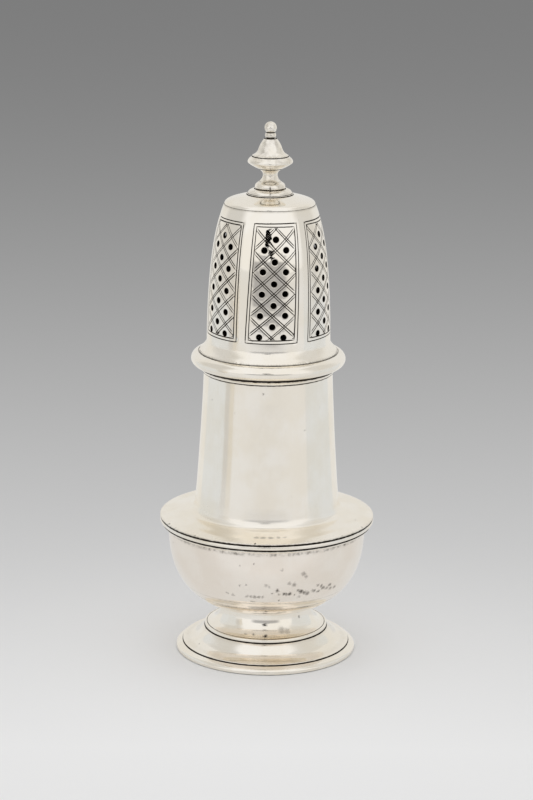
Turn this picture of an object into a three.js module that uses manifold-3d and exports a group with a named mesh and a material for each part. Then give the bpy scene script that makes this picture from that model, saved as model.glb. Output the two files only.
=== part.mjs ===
// A sugar caster in silver: a footed baluster body and a pierced cover that lifts off.
// Millimetres, +Z up. The origin is the middle of the foot, on the surface that it stands on.
// Each piece is turned about the Z axis and stands on the one below, with solder between them.

import * as THREE from 'three';
import Module from 'manifold-3d';
import { mergeGeometries, mergeVertices } from 'three/addons/utils/BufferGeometryUtils.js';

// Metal and fits
const bodySheet = 0.8; // thickness of the raised sheet of foot, bowl and neck
const coverSheet = 0.7; // thickness of the cover's sheet and its sleeve
const solderFilm = 0.05; // between two soldered pieces
const sleeveSlip = 0.25; // radial clearance of the cover's sleeve in the mouth
const restGap = 0.05; // between the cover's rim and the mouth ring that it rests on
const studSlip = 0.1; // radial clearance of the finial's stud in the cap and the nut

// Foot
const footRadius = 29.6;
const footRingHeight = 2.4;
const footRingWidth = 3.2;
const footRingEdge = 1.05; // height of the ring's upright edge, below its rounding
const footRingRound = 2; // how far in the rounding runs
const flangeRadius = 27.4;
const flangeRise = 5.15;
const flangeLip = 0.55; // height of its upright lip, on the ring
const flangeSeatWidth = 1.4;
const flangeSpread = [23, 1.25]; // the flange runs in almost level, aiming here
const flangeSweep = [22.4, 2.75]; // and sweeps up to the step ring from here
const stepRadius = 20.2;
const stepHeight = 1.1;
const stepWidth = 1.9;
const stepRound = 0.35;
const stemFootRadius = 19.5;
const stemWaistRadius = 14.8;
const stemRise = 6.55;

// Bowl, a single curve from its flat base to the girdle
const bowlBaseRadius = 14.4;
const bowlRadius = 32.2;
const bowlCurveRise = 24.55; // height at which the bowl has its full radius
const bowlLowReach = 10.5; // how far the base runs on outwards before it turns up
const bowlLowRise = 2.1;
const bowlHighDrop = 13.8;
const bowlHeight = 29.95;

// Girdle, the wire round the joint of bowl and neck
const girdleHeight = 3.25;
const girdleSlope = 1.5; // height of the sloped part under the bead
const girdleThick = 2.1;
const girdleBead = 0.7; // how far the bead stands out over the slope
const girdleGroove = 0.15;

// Neck, with its flared shoulder
const shoulderEdge = 0.25;
const shoulderRound = 0.4;
const shoulderRun = 8.4; // how far the straight slope of the shoulder runs in
const shoulderRise = 2.2;
const neckTopRadius = 20.9;
const neckSpread = 2.4; // how much wider the neck is at its foot than at its top
const neckSwell = 0.9; // how much wider than at its top it runs half way up
const neckBend = 0.3; // how far out from the neck's foot, and over the slope, the curve aims
const neckFootRise = 6.6; // where the shoulder's curve has turned up into the neck
const neckHeight = 48.8;
const mouthRingThick = 1.9;
const mouthRingHeight = 1.65;
const mouthRingLip = 0.7; // how far its bead stands out

// Cover
const rimWidth = 5.15; // from the sleeve out to the widest line of the rim
const rimHeight = 5;
const rimSeatWidth = 1.7; // out to where the rim's underside leaves the mouth ring
const rimTopWidth = 2.4;
const sleeveDepth = 14; // reach of the cover's sleeve into the neck
const flareWidth = 2.7; // from the sleeve out to the edge of the wall's flared foot
const flareEdge = 0.25;
const flareRise = 3.35;
const wallStandout = 0.15; // from the sleeve out to the wall
const wallHeight = 44.7;
const wallTaper = 3.4; // what the wall draws in by evenly, up to its top
const wallTuck = 1.95; // what it turns in by under the cap
const capHeight = 3.05;
const capEdgeRise = 1.3; // how steeply its edge starts up
const capCrownDrop = 1.3; // from its top down to where the flat cone of the crown aims
const capCrownReach = 5.2; // how far out from the finial's base that is
const capInset = 0.1; // step between the top of the wall and the cap

// Piercing: six panels of holes in staggered columns
const panelCount = 6;
const panelTurn = 4.7; // degrees, from the front towards +X
const panelLean = 0.115; // degrees to each millimetre of height, as cut by hand
const columnTurn = 11.6; // degrees between two columns
const holesInColumn = 5;
const holePitch = 6.93;
const holeRadius = 1;
const punchReach = 8; // from the face of the wall to the point of the punch
const topHoleDrop = 8.5; // from the top of the wall to the middle column's first hole

// Finial
const baseRadius = 7.4;
const baseHeight = 1.7;
const baseEdge = 0.3;
const baseStep = 0.35;
const studRadius = 1.5;
const studLength = 3.2;
const nutRadius = 3.4;
const nutHeight = 1.8;
const stalkFootRadius = 4.83;
const stalkHeight = 6.45;
const stalkFootHeight = 1.6;
const stalkFootEdge = 0.4; // rounding of the foot's edges
const stalkWaistRadius = 2.25;
const stalkWaistHeight = 4.1;
const stalkSweep = 0.65; // how far out and up from waist and foot the hollow aims
const stalkTopRadius = 3.95;
const knopRadius = 7.3;
const knopHeight = 3.9;
const knopWidest = 2.3; // height of its widest line
const knopTopRadius = 5.9;
const bellRadius = 5.77;
const bellHeight = 5.75;
const bellTopRadius = 1.95;
const bellWaistRadius = 3.6;
const bellWaistHeight = 3.1;
const bellFlare = 1.2; // height that the lower hollow aims at, and its distance in from the edge
const collarRadius = 1.75;
const collarHeight = 1.75;
const ballRadius = 1.95;
const ballNeckRadius = 1.2;

// Fineness of the turned faces
const bodySides = 40;
const facesToPanel = 5; // flat faces of the pierced wall to each panel, three with holes
const finialSides = 24;
const holeSides = 6;
const curveSteps = 3;

// Radii that follow from those above
const girdleInner = bowlRadius + solderFilm;
const shoulderRadius = girdleInner + girdleThick + girdleBead;
const mouthRadius = neckTopRadius - bodySheet;
const sleeveRadius = mouthRadius - sleeveSlip;
const rimInner = sleeveRadius + solderFilm;
const flareRadius = rimInner + flareWidth;
const wallRadius = sleeveRadius + wallStandout;

const rad = THREE.MathUtils.degToRad;
const wasm = await Module();
wasm.setup();

// Materials
const silver = new THREE.MeshStandardMaterial({ color: 0xdedbd3, roughness: 0.22, metalness: 1 });
const castSilver = new THREE.MeshStandardMaterial({ color: 0xd8d3c8, roughness: 0.28, metalness: 1 });
const innerSilver = new THREE.MeshStandardMaterial({ color: 0xc9c2b4, roughness: 0.4, metalness: 1 });

// A ring or disc turned about Z from a closed outline of (radius, height) points.
function turned(name, outline, sides, material, startTurn = 0) {
  const points = outline.map(([r, z]) => new THREE.Vector2(r, z));
  const first = outline[0];
  const last = outline[outline.length - 1];
  const onAxis = first[0] === 0 && last[0] === 0;
  if (!onAxis) points.push(points[0].clone());
  const geometry = new THREE.LatheGeometry(points, sides, startTurn);
  geometry.rotateX(Math.PI / 2);
  const mesh = new THREE.Mesh(geometry, material);
  mesh.name = name;
  return mesh;
}

// The points of a path, as [radius, height] pairs.
function pointsOf(path, steps = curveSteps) {
  return path.getPoints(steps).map((p) => [p.x, p.y]);
}

// The inner face of a sheet: each outer point moved square to its line, in by the thickness.
function innerFace(outer, thickness) {
  return outer.map(([r, z], i) => {
    const [r0, z0] = outer[Math.max(i - 1, 0)];
    const [r1, z1] = outer[Math.min(i + 1, outer.length - 1)];
    const length = Math.hypot(r1 - r0, z1 - z0);
    return [r - (thickness * (z1 - z0)) / length, z + (thickness * (r1 - r0)) / length];
  });
}

// Foot
function footRing() {
  const inner = footRadius - footRingWidth;
  const path = new THREE.Path()
    .moveTo(inner, 0)
    .lineTo(footRadius, 0)
    .lineTo(footRadius, footRingEdge)
    .quadraticCurveTo(footRadius - 0.15, (footRingEdge + footRingHeight) / 2,
      footRadius - footRingRound, footRingHeight)
    .lineTo(inner, footRingHeight);
  return turned('foot_ring', pointsOf(path), bodySides, silver);
}

function footFlange() {
  const inner = stepRadius - stepWidth;
  const collar = stepRadius - solderFilm;
  const path = new THREE.Path()
    .moveTo(flangeRadius, 0)
    .lineTo(flangeRadius, flangeLip)
    .bezierCurveTo(...flangeSpread, ...flangeSweep, collar, flangeRise)
    .lineTo(inner, flangeRise);
  const outer = pointsOf(path);
  const under = innerFace(outer, bodySheet).slice(1, -2).filter(([, z]) => z > 0.1).reverse();
  const outline = [
    ...outer,
    [inner, flangeRise - bodySheet],
    ...under,
    [flangeRadius - flangeSeatWidth, 0],
  ];
  return turned('foot_flange', outline, bodySides, silver);
}

function footStep() {
  const inner = stepRadius - stepWidth;
  const outline = [
    [inner, 0],
    [stepRadius, 0],
    [stepRadius, stepHeight - stepRound],
    [stepRadius - stepRound, stepHeight],
    [inner, stepHeight],
  ];
  return turned('foot_step', outline, bodySides, silver);
}

function footStem() {
  const reach = stemFootRadius - stemWaistRadius;
  const seatAngle = Math.asin(stemRise / (stemRise + bodySheet));
  const outside = new THREE.Path()
    .absellipse(stemFootRadius, stemRise, reach, stemRise, 1.5 * Math.PI, Math.PI, true);
  const inside = new THREE.Path()
    .absellipse(stemFootRadius, stemRise, reach + bodySheet, stemRise + bodySheet,
      Math.PI, Math.PI + seatAngle, false);
  return turned('foot_stem', [...pointsOf(outside), ...pointsOf(inside)], bodySides, silver);
}

// Bowl
function bowl() {
  const path = new THREE.Path()
    .moveTo(bowlBaseRadius, 0)
    .bezierCurveTo(bowlBaseRadius + bowlLowReach, bowlLowRise,
      bowlRadius, bowlCurveRise - bowlHighDrop, bowlRadius, bowlCurveRise)
    .lineTo(bowlRadius, bowlHeight);
  const outer = pointsOf(path, 2 * curveSteps);
  const inner = innerFace(outer, bodySheet).slice(1, -1).reverse();
  const outline = [
    [0, 0],
    ...outer,
    [bowlRadius - bodySheet, bowlHeight],
    ...inner,
    [bowlBaseRadius, bodySheet],
    [0, bodySheet],
  ];
  return turned('bowl', outline, bodySides, silver);
}

// Girdle
function girdle() {
  const slopeTop = girdleInner + girdleThick;
  const bead = girdleHeight - girdleSlope - girdleGroove;
  const path = new THREE.Path()
    .moveTo(girdleInner, 0)
    .lineTo(girdleInner + girdleGroove, 0)
    .lineTo(slopeTop, girdleSlope)
    .lineTo(slopeTop, girdleSlope + girdleGroove)
    .absellipse(slopeTop, girdleHeight - bead / 2, girdleBead, bead / 2,
      -Math.PI / 2, Math.PI / 2, false)
    .lineTo(girdleInner, girdleHeight);
  return turned('girdle_wire', pointsOf(path, 2), bodySides, silver);
}

// Neck
function neck() {
  const slopeFoot = shoulderRadius - shoulderRound;
  const slopeTop = slopeFoot - shoulderRun;
  const slopeFootRise = shoulderEdge + shoulderRound;
  const neckFootRadius = neckTopRadius + neckSpread;
  const path = new THREE.Path()
    .moveTo(shoulderRadius, 0)
    .lineTo(shoulderRadius, shoulderEdge)
    .lineTo(slopeFoot, slopeFootRise)
    .lineTo(slopeTop, slopeFootRise + shoulderRise)
    .quadraticCurveTo(neckFootRadius + neckBend, slopeFootRise + shoulderRise + neckBend,
      neckFootRadius, neckFootRise)
    .quadraticCurveTo(neckTopRadius + neckSwell, (neckFootRise + neckHeight) / 2,
      neckTopRadius, neckHeight);
  const outer = pointsOf(path, curveSteps + 1);
  const inner = innerFace(outer, bodySheet).slice(3, -1).reverse();
  const outline = [
    ...outer,
    [mouthRadius, neckHeight],
    ...inner,
    [bowlRadius - bodySheet, 0],
  ];
  return turned('neck', outline, bodySides, silver);
}

function mouthRing() {
  const outer = mouthRadius + mouthRingThick;
  const outline = [
    [mouthRadius, 0],
    [outer - mouthRingLip, 0],
    [outer - mouthRingLip / 2, mouthRingHeight / 4],
    [outer, (mouthRingHeight * 2) / 3],
    [outer - solderFilm, mouthRingHeight],
    [mouthRadius, mouthRingHeight],
  ];
  return turned('mouth_ring', outline, bodySides, silver);
}

// Cover
function coverRim() {
  const half = rimHeight / 2;
  const path = new THREE.Path()
    .moveTo(rimInner, 0)
    .lineTo(rimInner + rimSeatWidth, 0)
    .absellipse(rimInner + rimSeatWidth, half, rimWidth - rimSeatWidth, half,
      -Math.PI / 2, 0, false)
    .absellipse(rimInner + rimTopWidth, half, rimWidth - rimTopWidth, half,
      0, Math.PI / 2, false)
    .lineTo(rimInner, rimHeight);
  return turned('cover_rim', pointsOf(path, 2), bodySides, silver);
}

function coverSleeve() {
  const inner = sleeveRadius - coverSheet;
  const height = sleeveDepth + rimHeight;
  const outline = [[inner, 0], [sleeveRadius, 0], [sleeveRadius, height], [inner, height]];
  return turned('cover_sleeve', outline, bodySides, innerSilver);
}

// Radius of the pierced wall at a height above the flare.
function wallRadiusAt(height) {
  const share = height / wallHeight;
  return wallRadius - wallTaper * share ** 2 - wallTuck * share ** 6;
}

// Heights of the wall's rings, which run between the rows of holes.
function wallLevels() {
  const highest = wallHeight - topHoleDrop + holePitch / 4;
  const levels = [];
  for (let row = holesInColumn; row >= 0; row -= 1) levels.push(highest - row * holePitch);
  return [...levels, (highest + wallHeight) / 2, wallHeight];
}

// The punch of one hole: a slim cone square to the wall, so the hole narrows a little inwards.
function punch(height, turn) {
  const slope = wallRadiusAt(height + 0.5) - wallRadiusAt(height - 0.5); // over 1 mm
  const wide = (holeRadius * (punchReach + coverSheet)) / punchReach;
  const cone = new THREE.ConeGeometry(wide, punchReach + coverSheet, holeSides);
  cone.translate(0, (punchReach - coverSheet) / 2, 0);
  cone.rotateX(Math.atan(slope));
  cone.translate(0, -wallRadiusAt(height), flareRise + height);
  cone.rotateZ(rad(turn));
  return cone;
}

// Every punch in one geometry.
function punches() {
  const all = [];
  const first = wallHeight - topHoleDrop;
  const middle = first - ((holesInColumn - 1) * holePitch) / 2;
  for (let panel = 0; panel < panelCount; panel += 1) {
    for (let column = -1; column <= 1; column += 1) {
      for (let row = 0; row < holesInColumn; row += 1) {
        const height = first - (row + Math.abs(column) / 2) * holePitch;
        const lean = panelLean * (height - middle);
        all.push(punch(height, panelTurn + (360 / panelCount) * panel + columnTurn * column + lean));
      }
    }
  }
  return mergeGeometries(all);
}

// A three.js geometry as a solid that can be cut, and back.
function solidOf(geometry) {
  const bare = geometry.clone();
  bare.deleteAttribute('normal');
  bare.deleteAttribute('uv');
  const merged = mergeVertices(bare, 1e-4);
  return new wasm.Manifold(new wasm.Mesh({
    numProp: 3,
    vertProperties: merged.attributes.position.array,
    triVerts: new Uint32Array(merged.index.array),
  }));
}

function geometryOf(solid) {
  const { vertProperties, triVerts } = solid.getMesh();
  const geometry = new THREE.BufferGeometry();
  geometry.setAttribute('position', new THREE.BufferAttribute(vertProperties, 3));
  geometry.setIndex(new THREE.BufferAttribute(triVerts, 1));
  geometry.computeVertexNormals();
  return geometry;
}

function coverWall() {
  const flare = new THREE.Path()
    .moveTo(flareRadius, 0)
    .lineTo(flareRadius, flareEdge)
    .quadraticCurveTo(wallRadius + coverSheet, flareRise / 2, wallRadius, flareRise);
  const outer = pointsOf(flare);
  wallLevels().forEach((height) => outer.push([wallRadiusAt(height), flareRise + height]));
  const inner = innerFace(outer, coverSheet).slice(2, -1).reverse();
  const top = flareRise + wallHeight;
  const outline = [
    ...outer,
    [wallRadiusAt(wallHeight) - coverSheet, top],
    ...inner,
    [flareRadius - coverSheet, 0],
  ];
  const sides = facesToPanel * panelCount;
  const mesh = turned('cover_wall', outline, sides, silver, rad(panelTurn + 180 / sides));
  mesh.geometry = geometryOf(solidOf(mesh.geometry).subtract(solidOf(punches())));
  return mesh;
}

function cap() {
  const radius = wallRadiusAt(wallHeight) - capInset;
  const bore = studRadius + studSlip;
  const path = new THREE.Path()
    .moveTo(radius, 0)
    .bezierCurveTo(radius, capEdgeRise, baseRadius + capCrownReach, capHeight - capCrownDrop,
      baseRadius, capHeight)
    .lineTo(bore, capHeight);
  const outer = pointsOf(path, curveSteps + 1);
  const under = innerFace(outer, coverSheet).slice(1, -1).reverse();
  const outline = [...outer, [bore, capHeight - coverSheet], ...under, [radius - coverSheet, 0]];
  return turned('cap', outline, bodySides, silver);
}

// Finial, and the nut that holds it from inside the cap
function finialBase() {
  const upper = baseRadius - baseStep;
  const path = new THREE.Path()
    .moveTo(0, -studLength)
    .lineTo(studRadius, -studLength)
    .lineTo(studRadius, 0)
    .lineTo(baseRadius, 0)
    .lineTo(baseRadius, baseEdge)
    .lineTo(upper, baseEdge)
    .absellipse(stalkFootRadius, baseEdge, upper - stalkFootRadius, baseHeight - baseEdge,
      0, Math.PI / 2, false)
    .lineTo(0, baseHeight);
  return turned('finial_base', pointsOf(path, 2), finialSides, castSilver);
}

function finialNut() {
  const bore = studRadius + studSlip;
  const outline = [[bore, 0], [nutRadius, 0], [nutRadius, nutHeight], [bore, nutHeight]];
  const solid = turned('bore', outline, finialSides, innerSilver);
  const across = new THREE.CylinderGeometry(nutRadius, nutRadius, 2 * nutHeight, 6);
  across.rotateX(Math.PI / 2);
  solid.name = 'finial_nut';
  solid.geometry = geometryOf(solidOf(solid.geometry).intersect(solidOf(across)));
  return solid;
}

function finialStalk() {
  const edge = stalkFootEdge;
  const path = new THREE.Path()
    .moveTo(0, 0)
    .lineTo(stalkFootRadius - edge, 0)
    .lineTo(stalkFootRadius, edge)
    .lineTo(stalkFootRadius, stalkFootHeight - edge)
    .lineTo(stalkFootRadius - edge, stalkFootHeight)
    .quadraticCurveTo(stalkWaistRadius + stalkSweep, stalkFootHeight + edge,
      stalkWaistRadius, stalkWaistHeight)
    .quadraticCurveTo(stalkWaistRadius, stalkHeight - stalkSweep, stalkTopRadius, stalkHeight)
    .lineTo(0, stalkHeight);
  return turned('finial_stalk', pointsOf(path), finialSides, castSilver);
}

function finialKnop() {
  const path = new THREE.Path()
    .moveTo(0, 0)
    .lineTo(stalkTopRadius, 0)
    .quadraticCurveTo(knopRadius, knopWidest / 2, knopRadius, knopWidest)
    .quadraticCurveTo(knopRadius, (knopWidest + knopHeight) / 2, knopTopRadius, knopHeight)
    .lineTo(0, knopHeight);
  return turned('finial_knop', pointsOf(path), finialSides, castSilver);
}

function finialBell() {
  const path = new THREE.Path()
    .moveTo(0, 0)
    .lineTo(bellRadius, 0)
    .quadraticCurveTo(bellRadius - bellFlare, bellFlare, bellWaistRadius, bellWaistHeight)
    .quadraticCurveTo(bellTopRadius + bellFlare, bellHeight - bellFlare, bellTopRadius, bellHeight)
    .lineTo(0, bellHeight);
  return turned('finial_bell', pointsOf(path), finialSides, castSilver);
}

function finialBall() {
  const edge = collarRadius - ballNeckRadius;
  const centre = collarHeight + Math.sqrt(ballRadius ** 2 - ballNeckRadius ** 2);
  const start = -Math.acos(ballNeckRadius / ballRadius);
  const path = new THREE.Path()
    .moveTo(0, 0)
    .lineTo(collarRadius - edge / 2, 0)
    .lineTo(collarRadius, edge / 2)
    .lineTo(collarRadius, collarHeight - edge / 2)
    .lineTo(ballNeckRadius, collarHeight)
    .absarc(0, centre, ballRadius, start, Math.PI / 2, false);
  const outline = pointsOf(path);
  outline[outline.length - 1][0] = 0;
  return turned('finial_ball', outline, finialSides, castSilver);
}

// Heights of the seats, each worked out from what stands below
const flangeSeat = footRingHeight + solderFilm;
const stepSeat = flangeSeat + flangeRise + solderFilm;
const stemSeat = stepSeat + stepHeight + solderFilm;
const bowlSeat = stemSeat + stemRise + solderFilm;
const neckSeat = bowlSeat + bowlHeight + solderFilm;
const girdleSeat = neckSeat - solderFilm - girdleHeight;
const mouthSeat = neckSeat + neckHeight + solderFilm;
const coverSeat = mouthSeat + mouthRingHeight + restGap;
const wallSeat = rimHeight + solderFilm;
const capSeat = wallSeat + flareRise + wallHeight + solderFilm;
const finialSeat = capSeat + capHeight + solderFilm;
const nutSeat = capSeat + capHeight - coverSheet - solderFilm - nutHeight;
const stalkSeat = baseHeight + solderFilm;
const knopSeat = stalkSeat + stalkHeight + solderFilm;
const bellSeat = knopSeat + knopHeight + solderFilm;
const ballSeat = bellSeat + bellHeight + solderFilm;

// Sets a piece, or a group of them, at a height in what carries it.
function place(carrier, piece, height) {
  piece.position.z = height;
  carrier.add(piece);
  return piece;
}

const caster = new THREE.Group();
place(caster, footRing(), 0);
place(caster, footFlange(), flangeSeat);
place(caster, footStep(), stepSeat);
place(caster, footStem(), stemSeat);
place(caster, bowl(), bowlSeat);
place(caster, girdle(), girdleSeat);
place(caster, neck(), neckSeat);
place(caster, mouthRing(), mouthSeat);

const cover = place(caster, new THREE.Group(), coverSeat);
place(cover, coverRim(), 0);
place(cover, coverSleeve(), -sleeveDepth);
place(cover, coverWall(), wallSeat);
place(cover, cap(), capSeat);
place(cover, finialNut(), nutSeat);

const finial = place(cover, new THREE.Group(), finialSeat);
place(finial, finialBase(), 0);
place(finial, finialStalk(), stalkSeat);
place(finial, finialKnop(), knopSeat);
place(finial, finialBell(), bellSeat);
place(finial, finialBall(), ballSeat);

export default caster;
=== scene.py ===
import functools
import math
import random

import bmesh
import bpy
import numpy as np
from mathutils import Matrix, Vector, noise
from mathutils.geometry import delaunay_2d_cdt


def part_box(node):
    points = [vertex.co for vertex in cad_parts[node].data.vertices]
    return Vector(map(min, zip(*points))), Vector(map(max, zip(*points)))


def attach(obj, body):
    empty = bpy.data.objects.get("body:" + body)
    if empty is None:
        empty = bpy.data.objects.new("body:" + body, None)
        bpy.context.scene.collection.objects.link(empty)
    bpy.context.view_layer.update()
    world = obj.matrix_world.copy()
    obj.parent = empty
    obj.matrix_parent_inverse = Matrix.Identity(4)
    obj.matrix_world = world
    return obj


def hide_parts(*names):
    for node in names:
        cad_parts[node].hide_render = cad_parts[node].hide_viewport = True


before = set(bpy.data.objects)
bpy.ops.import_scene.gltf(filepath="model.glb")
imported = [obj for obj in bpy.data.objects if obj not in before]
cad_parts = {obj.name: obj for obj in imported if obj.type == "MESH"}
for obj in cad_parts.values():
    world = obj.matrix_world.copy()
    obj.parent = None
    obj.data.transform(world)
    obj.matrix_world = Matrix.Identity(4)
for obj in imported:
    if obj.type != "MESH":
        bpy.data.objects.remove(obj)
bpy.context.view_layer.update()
print("frame loaded:", len(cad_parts), "nodes")

mm = 0.001
scene = bpy.context.scene
nodeBoxes = {node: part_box(node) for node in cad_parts}


def seatOf(node):
    return nodeBoxes[node][0].z / mm


def sizeOf(node):
    # its radius and its height, in mm
    low, high = nodeBoxes[node]
    return high.x / mm, (high.z - low.z) / mm


# turning tools: an outline is a list of (radius, height) or (radius, height, tarnish), in millimetres

def arc(centre, reach, start, end, steps=8):
    points = []
    for i in range(steps + 1):
        turn = math.radians(start + (end - start) * i / steps)
        points.append((centre[0] + reach[0] * math.cos(turn), centre[1] + reach[1] * math.sin(turn)))
    return points


def bend(controls, steps=12):
    points = []
    for i in range(steps + 1):
        level = [Vector(c) for c in controls]
        while len(level) > 1:
            level = [a.lerp(b, i / steps) for a, b in zip(level, level[1:])]
        points.append(tuple(level[0]))
    return points


def flowing(controls, steps=5):
    # a smooth line that leans towards each control point, from the first to the last
    c = [Vector(p) for p in controls]
    ends = [c[0]] + [(a + b) / 2 for a, b in zip(c[1:], c[2:-1])] + [c[-1]]
    points = []
    for start, lean, end in zip(ends, c[1:-1], ends[1:]):
        points += bend([start, lean, end], steps)[1 if points else 0:]
    return points


def inward(outer, thickness, tarnishAndShade=0.3):
    # the inner face of a sheet, back along the outer line
    points = []
    for i, (r, z) in enumerate(outer):
        before, after = outer[max(i - 1, 0)], outer[min(i + 1, len(outer) - 1)]
        dr, dz = after[0] - before[0], after[1] - before[1]
        length = math.hypot(dr, dz)
        points.append((r - thickness * dz / length, z + thickness * dr / length, tarnishAndShade))
    return points[::-1]


def joined(*parts):
    points = []
    for part in parts:
        for p in part:
            p = (p[0], p[1], p[2] if len(p) > 2 else 0.0)
            if not points or math.dist(p[:2], points[-1][:2]) > 0.004:
                points.append(p)
    return points


def refined(outline, marks, longest, closed):
    # splits long lines, and more finely where a tarnish mark lies
    def allowed(p):
        spans = [max(reach / 3, (math.dist(p, (r, z)) - reach) / 1.5) for r, z, reach, _ in marks]
        return min([longest] + spans)

    ends = outline[1:] + (outline[:1] if closed else [])
    points = [outline[0]]
    for a, b in zip(outline, ends):
        middle = ((a[0] + b[0]) / 2, (a[1] + b[1]) / 2)
        length = math.dist(a[:2], b[:2])
        parts = max(1, math.ceil(length / min(allowed(middle), allowed(a[:2]), allowed(b[:2]))))
        for i in range(1, parts + 1):
            points.append(tuple(p + (q - p) * i / parts for p, q in zip(a, b)))
    return points[:-1] if closed else points


def smoothFall(share):
    share = min(max(share, 0.0), 1.0)
    return 1 - share * share * (3 - 2 * share)


def meshPiece(name, points, faces, tarnishAndShade, crease=32):
    mesh = bpy.data.meshes.new(name)
    mesh.from_pydata([tuple(c * mm for c in p) for p in points], [], faces)
    mesh.update()
    mesh.attributes.new("tarnishAndShade", "FLOAT", "POINT").data.foreach_set("value", tarnishAndShade)
    mesh.polygons.foreach_set("use_smooth", [True] * len(mesh.polygons))
    mesh.set_sharp_from_angle(angle=math.radians(crease))
    piece = bpy.data.objects.new(name, mesh)
    scene.collection.objects.link(piece)
    return piece


def turned(name, node, outline, marks, sides=160, longest=0.9, dents=None, seam=None):
    # a mark is (radius, height, reach, amount): tarnish all round, or painted contact shade at the foot
    # ring's bottom edge, fading out over its reach
    # dents, left by the hammer, are (start above the foot, stop below the top, fade, depth, width)
    # a seam is (from, to, amount): a dark joint on the front of a cast piece
    seat, height = seatOf(node), sizeOf(node)[1]
    closed = not (outline[0][0] == 0 and outline[-1][0] == 0)
    line = refined(outline, marks, longest, closed)
    points, tarnishAndShade, rings = [], [], []
    for r, z, old in line:
        near = max([amount * smoothFall(math.dist((r, z), (mr, mz)) / reach)
                    for mr, mz, reach, amount in marks] + [old])
        ring = []
        for side in range(1 if r == 0 else sides):
            turn = 2 * math.pi * side / sides - math.pi / 2
            here = Vector((r * math.cos(turn), r * math.sin(turn), z + seat))
            if dents and r > 0:
                start, stop, fade, deepest, width = dents
                share = min((z - start) / fade, (height - stop - z) / fade, 1)
                wave = 0.5 + 0.5 * noise.noise(here / width)
                depth = deepest * max(share, 0) * wave
                here.x -= depth * math.cos(turn)
                here.y -= depth * math.sin(turn)
            amount = near
            if seam and seam[0] <= z <= seam[1] and side in (0, 1):
                amount = max(amount, seam[2] * (1 - 0.6 * side))
            ring.append(len(points))
            points.append(tuple(here))
            tarnishAndShade.append(amount)
        rings.append(ring)
    faces = []
    for low, high in zip(rings, rings[1:] + (rings[:1] if closed else [])):
        for side in range(sides):
            after = (side + 1) % sides
            a, b = low[side % len(low)], low[after % len(low)]
            c, d = high[after % len(high)], high[side % len(high)]
            corners = [a, b, c, d] if len(low) > 1 else [a, c, d]
            faces.append(corners if len(high) > 1 or len(low) == 1 else [a, b, c])
    return meshPiece(name, points, faces, tarnishAndShade)


def dress(piece, body, node, material):
    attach(piece, body)
    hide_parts(node)
    piece.data.materials.append(material)
    return piece


def turnPiece(name, draw, size, node, material, body):
    # draw gives the outline and marks of a piece, from the radius and height of its node
    outline, marks = draw(*sizeOf(node), size)
    dress(turned(name, node, outline, marks, **size.get("turning", {})), body, node, material)


# materials

def hexColour(text):
    parts = [int(text[i:i + 2], 16) / 255 for i in (1, 3, 5)]
    linear = [c / 12.92 if c <= 0.04045 else ((c + 0.055) / 1.055) ** 2.4 for c in parts]
    return (*linear, 1.0)


def addNode(tree, kind, inputs=None, **settings):
    # an input is a value, a socket, or a node: then its first output is the one meant
    node = tree.nodes.new("ShaderNode" + kind)
    for name, value in settings.items():
        setattr(node, name, value)
    for socket, value in (inputs or {}).items():
        if isinstance(value, bpy.types.Node):
            value = next(output for output in value.outputs if output.enabled)
        if isinstance(value, bpy.types.NodeSocket):
            tree.links.new(value, node.inputs[socket])
        else:
            node.inputs[socket].default_value = value
    return node


def emptyMaterial(name):
    material = bpy.data.materials.new(name)
    material.use_nodes = True
    material.node_tree.nodes.clear()
    return material, functools.partial(addNode, material.node_tree)


silverLook = {
    "clean": "#FCF7EE",  # freshly rubbed
    "worn": "#F8F1E4",  # warmer, where a film has started
    "film": "#A39A8B",  # light brown tarnish beside the cuts
    "sulphideAndPaintedDark": "#29211A",  # black tarnish in the cuts; also the colour of the painted contact shade at the foot ring and of the painted dark reflection on the neck's shoulder
    "patch": 13, "patchSpan": (0.36, 0.64),  # mm between warm patches; a span is what counts of a noise
    "roughness": 0.12, "roughnessSpread": 0.05,
    "grainSize": 1.4, "evenSpan": (0.7, 1.3),  # mm, unevenness of the rubbing
    "dentSize": 9, "dentDepth": 0.05,  # mm, hammer marks left by the raising
    "pitSpacing": 5.5, "pitSize": 0.22, "pitDepth": 0.03, "pitFade": (0.4, 1.2),  # mm
    "pitShare": 0.16,  # of the cells have a pit
    "hairGap": 0.45, "hairDepth": 0.0016,  # mm; real hairlines are finer, drawn coarser so that they show
    "hairTurn": (0.5, 0.9, 0.4), "hairStretch": (1, 1, 0.06),
    "hairTone": 0.15,  # how much the hairlines vary the tone
    "filmAmount": 0.5, "filmFrom": 0.02,  # brown film beside the cuts
    "blotchAmount": 0, "blotchSize": 2.4, "blotchSpan": (0.46, 0.66),  # brown film in blotches, in mm
    "blackFrom": 0.22, "blackTo": 0.6,  # tarnish at which black starts, and at which it is full
    "ragged": 0.35,  # how much the edge of the black comes and goes
    "breakSize": 1.3, "breakSpan": (0.3, 0.7),
    "blackRough": 0.55,
    # the spots are stains, except the smear on the neck's shoulder, which is a painted dark reflection
    "spots": (),  # stains: degrees to the right of the front, mm above the table, mm wide, darkness
    "spotRadius": None,  # mm, the radius of the piece at a height above the table
    "spotGrain": 0.8, "spotPull": 1.5, "spotFade": (0.2, 1.2),  # mm, how the edge of a stain wanders
    "softBelow": -10,  # mm above the table: under it the metal is handled more and reflects less sharply
    "softRise": 2.5, "softMore": 0.13,
}


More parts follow.
